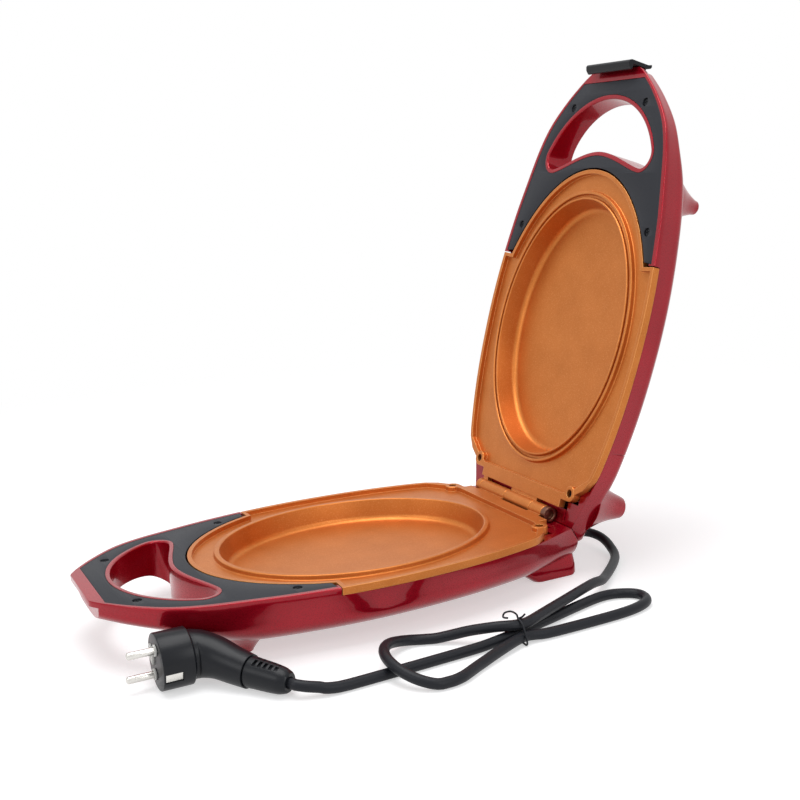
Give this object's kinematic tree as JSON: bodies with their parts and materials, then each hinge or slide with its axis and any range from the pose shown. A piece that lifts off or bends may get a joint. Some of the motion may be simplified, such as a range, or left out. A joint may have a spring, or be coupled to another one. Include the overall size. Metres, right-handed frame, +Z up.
{
  "type": "electric frying pan",
  "caption": "Folding electric frying pan: glossy red half shells on a cast hinge, copper-coloured oval pans, loop handles, a front latch and a coiled mains cord.",
  "frame": {"origin": "centre of the bounding box of the pan without its cord, on the floor under the four feet", "axes": "+Z up, +Y from the base's handle towards the hinge and the raised lid, +X along the hinge towards the side where the cord lies"},
  "size_m": [0.2915, 0.4762, 0.3807],
  "materials": {
    "red_gloss_plastic": "metallic red, high gloss",
    "charcoal_plastic": "matt moulded",
    "copper_non_stick": "cast, copper-coloured non-stick coat, satin",
    "steel": "plain",
    "dark_bronze": "dark bronze plating",
    "black_rubber": "matt",
    "black_plastic": "soft gloss",
    "pale_ceramic": "matt",
    "pale_plastic": "matt",
    "amber_lens": "clear amber",
    "lamp_glass": "clear",
    "brown_insulation": "matt",
    "blue_insulation": "matt",
    "green_insulation": "matt"
  },
  "bodies": {
    "base": {"base_shell": "red_gloss_plastic", "base_handle_panel": "charcoal_plastic", "base_pan_plate": "copper_non_stick", "base_panel_screw_front_left": "steel", "base_panel_screw_front_right": "steel", "base_panel_screw_rear_left": "steel", "base_panel_screw_rear_right": "steel", "base_plate_screw_left": "steel", "base_plate_screw_right": "steel", "base_heating_element": "steel", "base_heat_shield": "steel", "base_shield_screw_front": "steel", "base_shield_screw_left": "steel", "base_shield_screw_right": "steel", "thermostat": "pale_ceramic", "thermal_fuse": "steel", "cord_bush": "black_rubber", "cord_clamp": "steel", "cord_clamp_screw_left": "steel", "cord_clamp_screw_right": "steel", "terminal_block": "pale_ceramic", "live_wire": "brown_insulation", "neutral_wire": "blue_insulation", "earth_wire": "green_insulation", "hinge_pin": "dark_bronze", "power_cord": "black_rubber", "cord_tie": "black_rubber", "plug_body": "black_plastic", "plug_cord_sleeve": "black_plastic", "plug_pin_upper": "steel", "plug_pin_lower": "steel", "plug_pin_collar_upper": "pale_plastic", "plug_pin_collar_lower": "pale_plastic", "plug_earth_socket": "pale_plastic", "plug_earth_clip_outer": "steel", "plug_earth_clip_inner": "steel"},
    "lid": {"lid_shell": "red_gloss_plastic", "lid_handle_panel": "charcoal_plastic", "lid_pan_plate": "copper_non_stick", "lid_panel_screw_front_left": "steel", "lid_panel_screw_front_right": "steel", "lid_panel_screw_rear_left": "steel", "lid_panel_screw_rear_right": "steel", "lid_plate_screw_left": "steel", "lid_plate_screw_right": "steel", "lid_heating_element": "steel", "lid_heat_shield": "steel", "lid_shield_screw_front": "steel", "lid_shield_screw_left": "steel", "lid_shield_screw_right": "steel", "lamp_lens_right": "amber_lens", "lamp_lens_left": "amber_lens", "lamp_right": "lamp_glass", "lamp_left": "lamp_glass", "latch_pin": "steel", "latch_spring": "steel"},
    "latch": {"latch": "black_plastic"}
  },
  "joints": [
    {"name": "lid_hinge", "type": "hinge", "parent": "base", "child": "lid", "pos_m": [0, 0.10637, 0.046], "axis": [1, 0, 0], "range_deg": [0, 107.5]},
    {"name": "latch_pivot", "type": "hinge", "parent": "lid", "child": "latch", "pos_m": [0, 0.21501, 0.36562], "axis": [-1, 0, 0], "range_deg": [0, 24], "stiffness_Nm_per_rad": 0.08, "springref_deg": -8.59}
  ]
}
